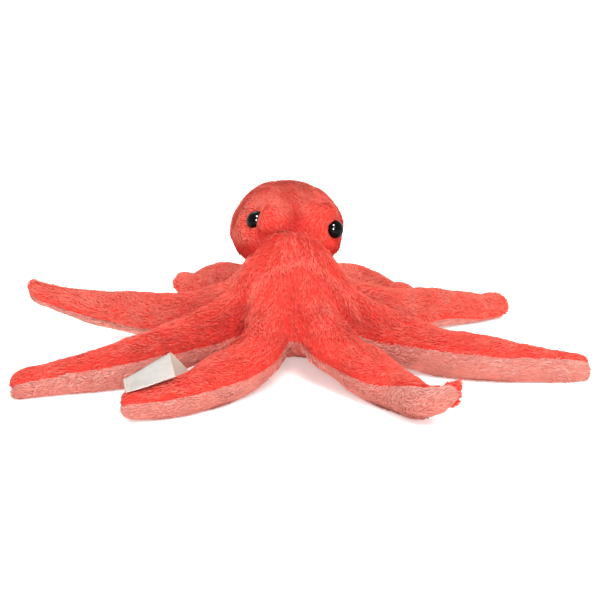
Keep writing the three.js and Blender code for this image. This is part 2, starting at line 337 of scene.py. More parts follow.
# %% [markdown]
# ## Sewing grids into one skin
#
# Every panel of fabric is a grid of points, and panels share the points along their common edges.
# They could be left as separate meshes, but then light would show each join. Sewing them means
# finding the points that fall on each other and giving them one number, so that the skin can be
# smoothed and shaded across its joins. Each corner of a triangle keeps its place on the panel's
# flat pattern, its chart.

# %% Panels, skins and their normals
WELD = 0.0137  # points within about this many millimetres are one point


class Skin:
    """A closed bag of triangles sewn from panels, with the lie of the pile at each point and, for
    each triangle, its panel's number and its corners' places on that panel's chart."""

    def __init__(self, panels):
        points, naps, triangles, charts, panel_numbers, traits = [], [], [], [], [], []
        start = 0
        for number, (grid, chart, nap, trait) in enumerate(panels):
            rows, columns = grid.shape[:2]
            index = start + np.arange(rows * columns).reshape(rows, columns)
            corner, beside = index[:-1, :-1], index[:-1, 1:]
            below, across = index[1:, :-1], index[1:, 1:]
            half_one = np.stack([corner, beside, below], axis=-1).reshape(-1, 3)
            half_two = np.stack([beside, across, below], axis=-1).reshape(-1, 3)
            panel = np.vstack([half_one, half_two])
            triangles.append(panel)
            charts.append(chart.reshape(-1, 2)[panel - start])
            panel_numbers.append(np.full(len(panel), number))
            points.append(grid.reshape(-1, 3))
            naps.append(nap.reshape(-1, 3))
            traits.append(trait.reshape(-1, trait.shape[-1]))
            start += rows * columns
        points, triangles = np.vstack(points), np.vstack(triangles)
        cells = np.round(points / WELD).astype(np.int64)
        _, first, number = np.unique(cells, axis=0, return_index=True, return_inverse=True)
        triangles = number.reshape(-1)[triangles]
        whole = (np.diff(np.sort(triangles, axis=1), axis=1) > 0).all(axis=1)
        self.points = points[first]
        self.nap = np.vstack(naps)[first]
        self.traits = np.vstack(traits)[first]
        self.triangles = triangles[whole]
        self.charts = np.vstack(charts)[whole]
        self.panels = np.concatenate(panel_numbers)[whole]

    def normals(self):
        """The unit mean of the normals of the triangles round each point, larger ones counting more."""
        a, b, c = (self.points[self.triangles[:, corner]] for corner in range(3))
        facing = np.cross(b - a, c - a)
        count = len(self.points)
        total = np.zeros((count, 3))
        for corner in range(3):
            for axis in range(3):
                total[:, axis] += np.bincount(self.triangles[:, corner], facing[:, axis], count)
        return unit(total)

    def relax(self, rounds, strength):
        """Moves each point by its strength towards the mean of its neighbours, several times."""
        starts = self.triangles.ravel()
        ends = np.roll(self.triangles, -1, axis=1).ravel()
        count = len(self.points)
        neighbours = np.bincount(starts, minlength=count)[:, None]
        for _ in range(rounds):
            sums = [np.bincount(starts, self.points[ends, axis], count) for axis in range(3)]
            mean = np.stack(sums, axis=1) / neighbours
            self.points = self.points + strength[:, None] * (mean - self.points)

    def push(self, distance):
        """Moves the points out along their normals."""
        self.points = self.points + self.normals() * distance[:, None]


def plain_skin(grid, chart=None):
    """A skin of one grid that grows no pile."""
    blank = np.zeros_like(grid)
    return Skin([(grid, blank[..., :2] if chart is None else chart, blank, blank[..., :1])])


# %% Meshes and pieces
def new_mesh(name, points, triangles, finish):
    """A smooth mesh from points in metres."""
    mesh = bpy.data.meshes.new(name)
    mesh.vertices.add(len(points))
    mesh.vertices.foreach_set("co", points.astype(np.float32).ravel())
    mesh.loops.add(triangles.size)
    mesh.loops.foreach_set("vertex_index", triangles.astype(np.int32).ravel())
    mesh.polygons.add(len(triangles))
    mesh.polygons.foreach_set("loop_start", np.arange(0, triangles.size, 3, dtype=np.int32))
    mesh.update(calc_edges=True)
    mesh.shade_smooth()
    mesh.materials.append(finish)
    return mesh


def new_piece(name, points, triangles, finish, uv=None, traits=None):
    """A mesh object from points in millimetres, at the origin, that rides on the toy's one body."""
    mesh = new_mesh(name, points * MM + trunk_axis, triangles, finish)
    if uv is not None:
        uv_name, places = uv
        mesh.uv_layers.new(name=uv_name).data.foreach_set("uv", places.astype(np.float32).ravel())
    for trait, values in (traits or {}).items():
        attribute = mesh.attributes.new(trait, "FLOAT", "POINT")
        attribute.data.foreach_set("value", values.astype(np.float32))
    piece = new_object(name, mesh)
    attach(piece, "root")
    return piece


# %% [markdown]
# ## The body's outer form
#
# The body is four panels for each arm: the top and the underside of the arm, and the sectors of
# web and belly behind it. The joins between trunk and arms are relaxed, as stuffing rounds them.
# A cloth simulation could swell the bag, but this one is stuffed tight and barely drapes, so the
# shape is set by formula and the fabric's small forms are pushed into it next.

# %% The body's panels
TOP_COLUMNS = 20
WEB_ROWS = 26
ARM_ROWS = 74
TIP_ROWS = 10
NAP_STEP = 0.005
BEND_STEP = 0.03
WRAP_START, WRAP_END = 0.92, 0.955
SEAM_FADE = 99
CHART_HALF = 0.48


def arm_shares(arm):
    """Rows along an arm: even over its length, and drawn together by a sine over the round tip."""
    tip_share = TIP_RADIUS / arm["length"]
    even = np.linspace(0, 1 - tip_share, ARM_ROWS, endpoint=False)
    round_tip = 1 - tip_share * (1 - np.sin(np.linspace(0, math.pi / 2, TIP_ROWS)))
    return np.concatenate([even, round_tip])[:, None]


def body_panel(arm, part, half):
    """One panel as (points, chart, nap, traits). half 0 is the top and 1 the underside. The pile
    lies down the trunk and out along the arm. Where an arm has a wrap, in degrees, its top panel
    closes round the tip by that much at each side. The traits are the share of the arm, which is
    under 0 on the trunk, the distance to the side seam, the side that faces the inside of the arm's
    bend, times how sharp the bend is, and the angle's cosine, which is 1 or -1 in a valley, and
    sine, which is above 0 on top."""
    across = np.linspace(0, 1, TOP_COLUMNS + 1)[None, :]
    angle = (half + across) * math.pi
    if part == "arm":
        share = arm_shares(arm)
        wrap = math.radians(arm.get("wrap", 0)) * eased(share, WRAP_START, WRAP_END)
        angle = angle + (1 - 2 * half) * wrap * (2 * across - 1)
        grid = arm_ring(arm, share, angle)
        ahead, behind = np.minimum(share + NAP_STEP, 1), np.maximum(share - NAP_STEP, 0)
        nap = arm_ring(arm, ahead, angle) - arm_ring(arm, behind, angle)
        chart = np.stack(np.broadcast_arrays(across, share), axis=-1)
        radius, tube = arm_radius(arm, share), tube_radius(share)
        turned = heading(arm, share + BEND_STEP) - heading(arm, share - BEND_STEP)
        bend = turned / (2 * BEND_STEP) / arm["length"]
        inside = bend * arm_section(arm, share, angle, tube)[0] / tube
    else:
        share = np.linspace(-1, 0, WEB_ROWS + 1)[:, None]
        form = web_point if half == 0 else belly_point
        grid = form(arm, 1 + share, angle)
        nap = np.gradient(grid, axis=0)
        chart = 0.5 + CHART_HALF * grid[..., :2] / CROTCH_RADIUS
        radius, inside = np.full_like(share, ARM_RADIUS), np.zeros_like(share)
    seam = np.sin(np.pi * across) * radius + SEAM_FADE * np.clip(-share, 0, 1) ** 2
    traits = np.stack(np.broadcast_arrays(share, seam, inside, np.cos(angle), np.sin(angle)), axis=-1)
    return grid, chart, unit(nap), traits


BODY_PANELS = [(name, part, half) for name in ARMS for part in ("trunk", "arm") for half in (0, 1)]
body = Skin([body_panel(ARMS[name], part, half) for name, part, half in BODY_PANELS])
share, seam_distance, bend_inside, _, _ = body.traits.T
body.relax(rounds=14, strength=0.5 * hump(share, 0, 0.16) * (body.points[:, 2] > 1))
body.relax(rounds=12, strength=0.5 * np.clip(0.5 * bend_inside - 0.3, 0, 1))
body.relax(rounds=2, strength=0.4 * (body.points[:, 2] > 1))
print(len(body.points), "points and", len(body.triangles), "triangles in the body's skin")

# %% [markdown]
# ### Seams, lumps and folds
#
# Sewing and stuffing give the fabric a groove and puckers along each side seam, soft lumps, and
# folds across the inside of each bend. A curved seam crosses the trunk's front like an arch and
# stands up a little. Below it, furrows run up from the crotches, and fine folds gather at the front
# one. They could be bumps in the material, but a real shape also shows at the outline, so all of
# them move the skin along its normals. They fade out where the table presses the arm smooth.

# %% Lines on the trunk's front
ARCH_SEAM = np.array([
    [37.7, 17.7], [33.2, 24.8], [27.3, 34.4], [20.5, 42.4], [14.7, 46.7], [9.4, 49.4],
    [3.3, 49.9], [-4.6, 47.8], [-11.5, 44.8], [-16.8, 38.8], [-19, 32.3], [-23, 21.9],
])
FURROWS = [
    (1.5, 1.9, np.array([[5.9, 13.9], [5.2, 18.9], [2.8, 28.6], [1.5, 35.3]])),
    (2.2, 3.2, np.array([[37.7, 14.7], [36, 26.0], [33, 36.6]])),
    (1.8, 2.8, np.array([[-25, 14.3], [-24, 26.2], [-22, 37.6]])),
]
GATHER = np.array([5.9, 13.9])
FRONT_ENDS = -4


def front_view(points):
    """Places across and up as seen from the front and a little above, in which the trunk's lines
    are drawn. Points behind are sent far away."""
    up = points[:, 2] * math.cos(CAMERA_ELEVATION) + points[:, 1] * math.sin(CAMERA_ELEVATION)
    return np.stack([points[:, 0], up + FAR * (points[:, 1] > FRONT_ENDS)], axis=1)


def line_distance(points, line):
    """How far points are, in that view, from a line through some corners."""
    points = front_view(points)
    nearest = np.full(len(points), np.inf)
    for start, end in zip(line[:-1], line[1:]):
        run = end - start
        along = np.clip((points - start) @ run / (run @ run), 0, 1)
        nearest = np.minimum(nearest, np.linalg.norm(points - start - along[:, None] * run, axis=1))
    return nearest


def furrows(points):
    """(depth in millimetres, painted shade) of the furrows that run up the trunk from its
    crotches and fade out upwards."""
    depth, shade = np.zeros((2, len(points)))
    for deepest, width, line in FURROWS:
        fade = eased(front_view(points)[:, 1], line[-1, 1], line[0, 1] + 4)
        off = line_distance(points, line)
        depth += deepest * fade * hump(off, 0, width)
        shade += fade * hump(off, 0, 0.7 * width)
    return depth, np.clip(shade, 0, 1)


def gathers(points):
    """Fine folds, 0 to 1, that fan out from the front crotch over the arms' roots."""
    off = front_view(points) - GATHER
    reach = np.linalg.norm(off, axis=1)
    turn = np.arctan2(off[:, 0], off[:, 1])
    wave = random_field(np.stack([turn / 0.28, reach / 30, np.zeros(len(points))], axis=1), 1, 71)
    return eased(wave, 0.05, 0.7) * hump(reach, 13, 11) * (np.abs(turn) < 2.2)


# %% Seams, lumps and folds
SEAM_GROOVE = 0.9
PUCKER_DEPTH = 0.2
PUCKER_LENGTH = 7
LUMP = 0.75
WRINKLE = 0.3
FOLD_DEPTH = 0.7
FOLD_SPACING = 8.5
ARCH_RISE = 1.2
GATHER_DEPTH = 0.6
MEAN_ARM_LENGTH = 112

resting = 1 - eased(body.points[:, 2], 0.3, 4)
on_arm = eased(share, -0.1, 0.05)
lumps = LUMP * random_field(body.points, 26, 3) + WRINKLE * random_field(body.points, 8, 5)
down_arm = MEAN_ARM_LENGTH * share + 6 * random_field(body.points, 30, 7)
puckers = PUCKER_DEPTH * np.sin(2 * np.pi * down_arm / PUCKER_LENGTH) * hump(seam_distance, 2.5, 2.5)
groove = -SEAM_GROOVE * hump(seam_distance, 0, 1.7)
folds = -FOLD_DEPTH * np.clip(0.9 * bend_inside, 0, 1) * np.cos(np.pi * down_arm / FOLD_SPACING) ** 8
arch = ARCH_RISE * hump(line_distance(body.points, ARCH_SEAM), 0, 2.2)
whole_skin = lumps + arch - furrows(body.points)[0] - GATHER_DEPTH * gathers(body.points)
body.push((whole_skin + on_arm * (puckers + groove + folds)) * (1 - resting))
print("deepest fold in mm:", round(float(folds.min()), 2))

# %% [markdown]
# ## The head
#
# The head is an egg-shaped mantle that lies back over the trunk's crown, turned and rolled a
# little to the toy's left. It could be sculpted by hand, but an egg's formula is smooth and gives
# every place on it an address. Over each eye a tuck in the fabric makes a brow mound, whose lower
# end overhangs a small crease. Washers pull the eyes in, so the fabric dips round them.

# %% The mantle's shape and the places on it
MANTLE_CENTRE = np.array([-2, 24, 65])
MANTLE_LENGTH = 37
MANTLE_WIDTH = 30
MANTLE_TOP = 24
MANTLE_BOTTOM = 23
MANTLE_YAW, MANTLE_PITCH, MANTLE_ROLL = 12, 8, 6
BLUNTNESS = 0.9

EYE_PLACES = {"left": (47, 15, 0.4), "right": (62, 138, -0.15)}
BROW_PLACES = {"left": (53, 46, -60), "right": (50, 119, -10)}
FURROW_TOP, FURROW_FOOT = (88, 96), (34, 80)
FLATTER_SIDE = (112, 138)


def turned_about(axis, vector, degrees):
    """A vector turned about a unit axis that it is square to: cosine of it as it is and sine of it
    a quarter turn on."""
    turn = math.radians(degrees)
    return vector * math.cos(turn) + np.cross(axis, vector) * math.sin(turn)


pitch = math.radians(MANTLE_PITCH)
ahead_axis = plan_direction(MANTLE_YAW) * math.cos(pitch) - np.array([0, 0, math.sin(pitch)])
level_left = np.array([math.cos(math.radians(MANTLE_YAW)), math.sin(math.radians(MANTLE_YAW)), 0])
left_axis = turned_about(ahead_axis, level_left, MANTLE_ROLL)
up_axis = np.cross(ahead_axis, left_axis)


def mantle_point(along, around):
    """An egg: along runs 0 to 180 from the face's pole to the back, around is 0 at the left and 90
    on top. The ring at each place has the sine of along, to a power under 1, times the egg's half
    width and height, which is larger on top than below."""
    along, around = np.radians(along), np.radians(around)
    ring = np.abs(np.sin(along)) ** BLUNTNESS
    height = np.sin(around) * np.where(np.sin(around) > 0, MANTLE_TOP, MANTLE_BOTTOM)
    return (
        MANTLE_CENTRE
        + (np.cos(along) * MANTLE_LENGTH)[..., None] * ahead_axis
        + (np.cos(around) * MANTLE_WIDTH * ring)[..., None] * left_axis
        + (height * ring)[..., None] * up_axis
    )


def mantle_gap(points):
    """About how far points are outside the egg, in millimetres: the share by which they are
    further from its middle than its surface, times its mean half size."""
    offset = points - MANTLE_CENTRE
    height = offset @ up_axis
    upright = height / np.where(height > 0, MANTLE_TOP, MANTLE_BOTTOM)
    share = np.stack([offset @ ahead_axis / MANTLE_LENGTH, offset @ left_axis / MANTLE_WIDTH, upright])
    return (np.linalg.norm(share, axis=0) - 1) * (MANTLE_WIDTH + MANTLE_TOP) / 2


def mantle_frame(along, around, turn=0.0, spin=0.0):
    """(place, across, lengthwise, out) of something set on the mantle: out is the surface's normal
    drawn towards the face by turn, and the other two are turned about it by spin degrees."""
    place = mantle_point(along, around)
    back = mantle_point(along + 1, around) - place
    over = mantle_point(along, around + 1) - place
    out = unit(unit(np.cross(back, over)) + turn * ahead_axis)
    across = turned_about(out, unit(np.cross(back, out)), spin)
    return place, across, np.cross(out, across), out


# %% Brows, creases and eye places
BROW_HALF_SIZES = {"left": (8.2, 9.8), "right": (9.4, 10.6)}
BROW_CREASES = {"left": 0.3, "right": 1.0}
EYE_BEHIND = -8


def on_brow(points, side):
    """(offset, x, y, across, lengthwise): points from a brow's middle, in millimetres and in its
    half sizes, and its two axes."""
    along, around, spin = BROW_PLACES[side]
    half_width, half_length = BROW_HALF_SIZES[side]
    place, across, lengthwise, _ = mantle_frame(along, around, spin=spin)
    offset = points - place
    return offset, offset @ across / half_width, offset @ lengthwise / half_length, across, lengthwise


def brow_shape(points, side):
    """(mound, crease) of a brow. The mound is (1 - q)^p over an ellipse, where q is the square of
    the distance in half sizes, and p is 2 above, where it blends in, and less below and beside the
    eye, where it overhangs. The crease, 0 to 1, runs round the lower end."""
    half_width, half_length = BROW_HALF_SIZES[side]
    offset, x, y, _, _ = on_brow(points, side)
    square = x**2 + y**2
    lower = eased(offset @ ahead_axis, -0.3 * half_length, 0.7 * half_length)
    outer_way = unit(ahead_axis + (left_axis if side == "left" else -left_axis))
    steep = eased(offset @ outer_way, -0.3 * half_width, 0.7 * half_width)
    mound = np.clip(1 - square, 0, 1) ** mix(2, mix(1.3, 0.6, BROW_CREASES[side]), steep)
    return mound, BROW_CREASES[side] * lower * hump(np.sqrt(square), 1.12, 0.2)


def brow_fan(points):
    """How the pile on each brow is combed out from its middle: the offset in half sizes."""
    fan = np.zeros_like(points)
    for side in BROW_PLACES:
        _, x, y, across, lengthwise = on_brow(points, side)
        weight = 1 - eased(np.hypot(x, y), 0.9, 1.25)
        fan += weight[:, None] * (x[:, None] * across + y[:, None] * lengthwise)
    return fan


def eye_distance(points):
    """How far points are from the middle line of the nearer eye."""
    distances = []
    for eye_place in EYE_PLACES.values():
        place, _, _, out = mantle_frame(*eye_place)
        depth = (points - place) @ out
        aside = np.linalg.norm(points - place - depth[:, None] * out, axis=1)
        distances.append(aside + FAR * (depth < EYE_BEHIND))
    return np.minimum(*distances)


def face_creases(points):
    """(mounds, creases, shade) on the head. The shade, 0 to 1, is painted shade: the deep colour
    under each brow, in the furrow between them, which widens downwards, where the head meets the
    collar and beneath the head."""
    mounds, creases = np.sum([brow_shape(points, side) for side in BROW_PLACES], axis=0)
    offset = points - mantle_point(*FURROW_TOP)
    run = mantle_point(*FURROW_FOOT) - mantle_point(*FURROW_TOP)
    down = np.clip(offset @ run / (run @ run), 0, 1)
    off = np.linalg.norm(offset - down[:, None] * run, axis=1)
    furrow = hump(off, 0, mix(3.5, 4.5, down)) * eased(down, 0, 0.3)
    collar = hump(np.maximum(trunk_gap(points), 0), 0, mix(3.0, 7.0, eased(points[:, 0], 6, -16)))
    # painted shade beneath the head
    beneath = eased(points[:, 2], 66, 55)
    return mounds, creases, np.clip(creases + 0.6 * furrow + 0.6 * collar + beneath, 0, 1)


# %% The mantle's skin
MANTLE_ROWS = 128
MANTLE_COLUMNS = 180
BROW_RISE = 5.6
CREASE_DEPTH = 2.4
EYE_RADIUS = 4.7
EYE_DIP = 1.3
CROWN_SEAM = 0.55
FLATTENING = 1.3
DEGREES_PER_RADIAN = 57.3
FALLS_FROM, FALLS_WHOLLY = 105, 165

along, around = np.meshgrid(
    np.linspace(0, 180, MANTLE_ROWS + 1), np.linspace(360, 0, MANTLE_COLUMNS + 1), indexing="ij"
)
mantle_grid = mantle_point(along, around)
mantle_chart = np.stack([around / 360, along / 180], axis=-1)
towards_face = -unit(np.gradient(mantle_grid, axis=0))
falling = eased(along, FALLS_FROM, FALLS_WHOLLY)
mantle_nap = unit(mix(towards_face, -up_axis, falling[..., None]))
off_top = np.abs(around - 90) / DEGREES_PER_RADIAN
seam_distance = off_top * MANTLE_TOP * np.abs(np.sin(np.radians(along)))
mantle_traits = np.stack([along, seam_distance], axis=-1)
mantle = Skin([(mantle_grid, mantle_chart, mantle_nap, mantle_traits)])

mounds, creases, _ = face_creases(mantle.points)
brows = BROW_RISE * mounds - CREASE_DEPTH * creases
dips = -EYE_DIP * hump(eye_distance(mantle.points), 3.5, 3.2)
crown_seam = -CROWN_SEAM * hump(mantle.traits[:, 1], 0, 1.6) * eased(mantle.traits[:, 0], 75, 100)
lumps = 0.7 * random_field(mantle.points, 22, 13) + 0.3 * random_field(mantle.points, 7, 17)
from_side = np.linalg.norm(mantle.points - mantle_point(*FLATTER_SIDE), axis=1)
mantle.push(brows + dips + crown_seam + lumps - FLATTENING * hump(from_side, 0, 15))
mantle.relax(rounds=2, strength=np.full(len(mantle.points), 0.4))
print(len(mantle.triangles), "triangles in the head's skin")

# %% [markdown]
# ## Finishes
#
# A material could be drawn as boxes and links, but shader maths reads best as plain sums, so one
# small class wraps a node's output and gives it the usual operators. Each adds a Math node. Colours
# are mixed with Mix nodes, because a Math node would turn them grey.

# %% Writing shaders as expressions
def join(entry, value):
    """Links a wrapped output to a socket, or sets the socket to a plain value."""
    if isinstance(value, Wire):
        entry.id_data.links.new(value.socket, entry)
    else:
        entry.default_value = value


class Wire:
    """One output of a node. An expression on wires and numbers adds its Math nodes."""

    def __init__(self, socket):
        self.socket = socket

    def maths(self, operation, first, second):
        node = self.socket.id_data.nodes.new("ShaderNodeMath")
        node.operation = operation
        join(node.inputs[0], first)
        join(node.inputs[1], second)
        return Wire(node.outputs[0])

    def __add__(self, other):
        return self.maths("ADD", self, other)

    def __mul__(self, other):
        return self.maths("MULTIPLY", self, other)

    def __sub__(self, other):
        return self.maths("SUBTRACT", self, other)

    def __rsub__(self, other):
        return self.maths("SUBTRACT", other, self)

    def __pow__(self, other):
        return self.maths("POWER", self, other)

    __radd__ = __add__
    __rmul__ = __mul__


class Finish:
    """A material under construction, built round one Principled shader."""

    def __init__(self, name):
        self.material = bpy.data.materials.new(name)
        self.material.use_nodes = True
        self.tree = self.material.node_tree
        self.shader = self.tree.nodes["Principled BSDF"]

    def node(self, kind, settings=None, inputs=None, output=0):
        """A node of this kind, with its settings made first and its sockets after them."""
        node = self.tree.nodes.new(kind)
        for setting, value in (settings or {}).items():
            setattr(node, setting, value)
        for socket, value in (inputs or {}).items():
            join(node.inputs[socket], value)
        return Wire(node.outputs[output])

    def sine(self, value):
        return self.node("ShaderNodeMath", {"operation": "SINE"}, {0: value})

    def trait(self, name):
        return self.node("ShaderNodeAttribute", {"attribute_name": name}, output="Fac")

    def noise(self, per_metre, detail=2.0):
        """Soft noise from 0 to 1, mostly between 0.3 and 0.7, with this many cells to the metre."""
        place = self.node("ShaderNodeTexCoord", output="Object")
        return self.node("ShaderNodeTexNoise", {}, {"Vector": place, "Scale": per_metre, "Detail": detail})

    def ramp(self, value, start, end):
        """0 before start, 1 after end, and smooth between."""
        settings = {"interpolation_type": "SMOOTHSTEP", "clamp": True}
        return self.node("ShaderNodeMapRange", settings, {0: value, 1: start, 2: end})

    def blend(self, share, first, second):
        """The first colour where share is 0 and the second where it is 1."""
        sockets = {0: share, 6: first, 7: second}
        return self.node("ShaderNodeMix", {"data_type": "RGBA"}, sockets, output=2)

    def bump(self, height, distance, strength=1.0):
        sockets = {"Height": height, "Distance": distance, "Strength": strength}
        return self.node("ShaderNodeBump", {}, sockets)

    def shade(self, **sockets):
        """Sets or links the shader's sockets, named with _ for each space, and gives the material."""
        for name, value in sockets.items():
            join(self.shader.inputs[name.replace("_", " ")], value)
        return self.material


def dye(red, green, blue):
    """A colour as 0 to 255 on a screen, turned into the linear light that shaders use."""
    screen = np.array([red, green, blue]) / 255
    light = np.where(screen > 0.04045, ((screen + 0.055) / 1.055) ** 2.4, screen / 12.92)
    return (*light.tolist(), 1.0)


# %% [markdown]
# ### Plush
#
# Short polyester pile is painted deep in colour between its locks, as painted shade where light
# is trapped, and paler at its tips, as a painted highlight where each fibre shines. It also parts
# and lies over in patches a centimetre or two wide. A flat pattern could be wrapped round the toy,
# but it would stretch, so noise and the locks' own traits make the colour: a lock's reach is 0 at
# its root and 1 at its pale tip, and its tone is how pale it is, partly at random and partly as
# painted light. The shade, which the skin has too, is painted shade: the deep colour in the creases
# and valleys, under the collar and under the head and the arms' roots, where shade falls.

# %% The two plush finishes
def plush(name, painted_shade_dye, root, body, tip):
    """The painted shade's colour in the shade, and elsewhere from root to body to tip by the
    lock's reach and tone, with painted shade at the roots and a painted highlight at the tips.
    """
    finish = Finish(name)
    brushed = finish.ramp(finish.noise(55, 3.0), 0.38, 0.64)
    mottled = finish.ramp(finish.noise(260), 0.35, 0.65)
    reach, tone, shade = (finish.trait(trait) for trait in ("reach", "tone", "shade"))
    out = finish.ramp(reach, 0.0, 0.75)
    # painted highlight: the tips grow paler in patches, less where shade is painted
    shine = (reach**2.0) * (0.15 + 0.3 * brushed) * tone * (1 - shade)
    colour = finish.blend(out * (0.3 + 0.15 * mottled + 0.65 * tone), root, body)
    colour = finish.blend(shine, colour, tip)
    # painted shade: the colour goes deep where the shade attribute is high
    colour = finish.blend(0.85 * shade, colour, painted_shade_dye)
    fibres = finish.noise(1500, 3.0)
    return finish.shade(
        Base_Color=colour,
        Roughness=0.72 + 0.16 * fibres,
        Specular_IOR_Level=0.04,
        Sheen_Weight=0.22,
        Sheen_Roughness=0.4,
        Sheen_Tint=dye(255, 190, 170),
        Normal=finish.bump(fibres, 0.3 * MM),
    )


# each set: the painted shade's colour, the roots' colour, deepened as painted shade between the locks, the
# body's own dye, and the tips' colour, paled as a painted highlight
CORAL_DYES_AND_LIGHT = dye(208, 26, 20), dye(226, 42, 31), dye(232, 84, 69), dye(253, 170, 148)
SALMON_DYES_AND_LIGHT = dye(196, 74, 61), dye(208, 114, 101), dye(223, 156, 143), dye(244, 208, 197)
CORAL = plush("coral_plush", *CORAL_DYES_AND_LIGHT)
SALMON = plush("salmon_plush", *SALMON_DYES_AND_LIGHT)
print("finishes:", CORAL.name, "and", SALMON.name)

# %% [markdown]
# ## The pile
#
# A lock is a few fibres that cling together. It stands in the fabric at a slant, bends over with
# the lie of the pile and ends in a point. Hair particles could grow it, but they make no solid
# mesh. Here each lock is a closed shape of seven points and ten triangles, and all the locks of a
# panel are made at once as arrays. Roots are spread over the skin's triangles by area, so they
# cover every side of the toy evenly.

# %% Where the locks grow
STREAK_STEP = 0.9


class Roots:
    """Places on a skin with the normal, the lie of the pile, the traits and the chart there."""

    def __init__(self, skin, per_square_mm, seed):
        rng = np.random.default_rng(seed)
        corners = skin.points[skin.triangles]
        facing = np.cross(corners[:, 1] - corners[:, 0], corners[:, 2] - corners[:, 0])
        area = np.linalg.norm(facing, axis=1) / 2
        count = np.floor(area * per_square_mm + rng.random(len(area))).astype(int)
        triangle = np.repeat(np.arange(len(area)), count)
        first, second = rng.random((2, len(triangle)))
        over = first + second > 1
        first, second = np.where(over, 1 - first, first), np.where(over, 1 - second, second)
        share = np.stack([1 - first - second, first, second], axis=1)[:, :, None]
        at = skin.triangles[triangle]
        self.place = (skin.points[at] * share).sum(axis=1)
        self.normal = unit((skin.normals()[at] * share).sum(axis=1))
        self.nap = (skin.nap[at] * share).sum(axis=1)
        self.traits = (skin.traits[at] * share).sum(axis=1)
        self.chart = (skin.charts[triangle] * share).sum(axis=1)
        self.panel = skin.panels[triangle]
        self.chance = rng.random((len(triangle), 4))

    def keep(self, wanted):
        """Drops the other roots."""
        for name, values in vars(self).items():
            setattr(self, name, values[wanted])

    def streaks(self, width, seed):
        """Soft numbers, about -1 to 1, that change over a width across the lie of the pile and are
        long along it: the mean of a random field at steps along the lie, made stronger again."""
        steps = np.arange(-3, 4) * STREAK_STEP
        fields = [random_field(self.place + step * self.nap, width, seed) for step in steps]
        return np.clip(2.2 * np.mean(fields, axis=0), -1, 1)


# %% How a lock is shaped
LOCK_SECTION = np.array([[-0.5, 0.0], [0.5, 0.0], [0.0, 0.4]])
SECTION_SIDES = [(0, 1), (1, 2), (2, 0)]
LOCK_TRIANGLES = np.array(
    [[0, 2, 1]]
    + [[i, j, j + 3] for i, j in SECTION_SIDES]
    + [[i, j + 3, i + 3] for i, j in SECTION_SIDES]
    + [[i + 3, j + 3, 6] for i, j in SECTION_SIDES]
)
LOCK_POINTS = 7
LOCK_REACH = np.array([0, 0, 0, 0.55, 0.55, 0.55, 1.0])
LOCK_PATCH = np.array([[0, 0], [1, 0], [0.5, 0.25], [0.1, 0.6], [0.9, 0.6], [0.5, 0.7], [0.5, 1]])
PATCH_SIZE = 0.003
ROOT_SUNK = 0.3
KNEE_LENGTH, TIP_LENGTH = 0.55, 0.5
KNEE_LIE, TIP_LIE = 1.25, 0.45
KNEE_WIDTH = 0.85


def locks(roots, length, width, lie, sway):
    """Solid locks as points of shape (locks, 7, 3). A lock rises at lie radians from the skin to
    its knee and lies flatter beyond it, and it turns sideways from the lie of the pile by sway."""
    normal = roots.normal
    flat = unit(roots.nap - (roots.nap * normal).sum(axis=1, keepdims=True) * normal)
    ahead = flat * np.cos(sway)[:, None] + np.cross(normal, flat) * np.sin(sway)[:, None]
    side = np.cross(normal, ahead)

    def slanted(angle):
        return ahead * np.cos(angle)[:, None] + normal * np.sin(angle)[:, None]

    root = roots.place - ROOT_SUNK * normal
    knee = root + slanted(KNEE_LIE * lie) * (KNEE_LENGTH * length)[:, None]
    tip = knee + slanted(TIP_LIE * lie) * (TIP_LENGTH * length)[:, None]
    sideways, upward = LOCK_SECTION.T[:, None] * width[:, None]
    section = side[:, None] * sideways[..., None] + normal[:, None] * upward[..., None]
    rings = [root[:, None] + section, knee[:, None] + KNEE_WIDTH * section, tip[:, None]]
    return np.concatenate(rings, axis=1)


def pile_piece(name, points, roots, chosen, finish):
    """One mesh of the chosen locks, with a small patch on the panel's chart for each."""
    points, chart = points[chosen], roots.chart[chosen]
    count = len(points)
    triangles = (LOCK_TRIANGLES[None] + LOCK_POINTS * np.arange(count)[:, None, None]).reshape(-1, 3)
    places = (chart[:, None] * (1 - PATCH_SIZE) + PATCH_SIZE * LOCK_PATCH).reshape(-1, 2)
    traits = {"reach": np.tile(LOCK_REACH, count)}
    for trait in ("tone", "shade"):
        traits[trait] = np.repeat(getattr(roots, trait)[chosen], LOCK_POINTS)
    uv = ("OFBake", places[triangles.ravel()])
    piece = new_piece(name, points.reshape(-1, 3), triangles, finish, uv, traits)
    print(name, len(triangles), "triangles")
    return piece


# %% [markdown]
# ## The body's skin and pile
#
# The skin could be the CAD surface itself, but then the locks would stand outside the toy's real
# size. So it goes in by the depth of the pile, and by less where the pile is pressed against the
# table. It stands for the trunk and every length of every arm, so it hides them. Locks don't grow
# where the head covers the trunk, and beside a seam they are shorter.

# %% The body's skin
PILE_DEPTH = 1.2
PRESSED_DEPTH = 0.8
FRONT_AZIMUTH = 4
SHORTER_FROM, SHORTEST_AT = 0.85, 0.98
VALLEY_REACH, SIDE_REACH = 0.24, 0.34


def inset(skin, shallower):
    """Moves a skin in by the pile's depth, less near the table, and keeps it off the table. Where
    shallower is 1 the pile is less deep by a third."""
    pressed = 1 - eased(skin.points[:, 2], 0.2, 3)
    skin.push(-mix(PILE_DEPTH, PRESSED_DEPTH, pressed) * (1 - shallower / 3))
    skin.points[:, 2] = np.maximum(skin.points[:, 2], PRESSED_DEPTH / 2)


def round_trunk(points):
    """Degrees round the trunk from the middle of its front, + towards the toy's left."""
    return np.degrees(np.arctan2(points[:, 0], -points[:, 1])) - FRONT_AZIMUTH


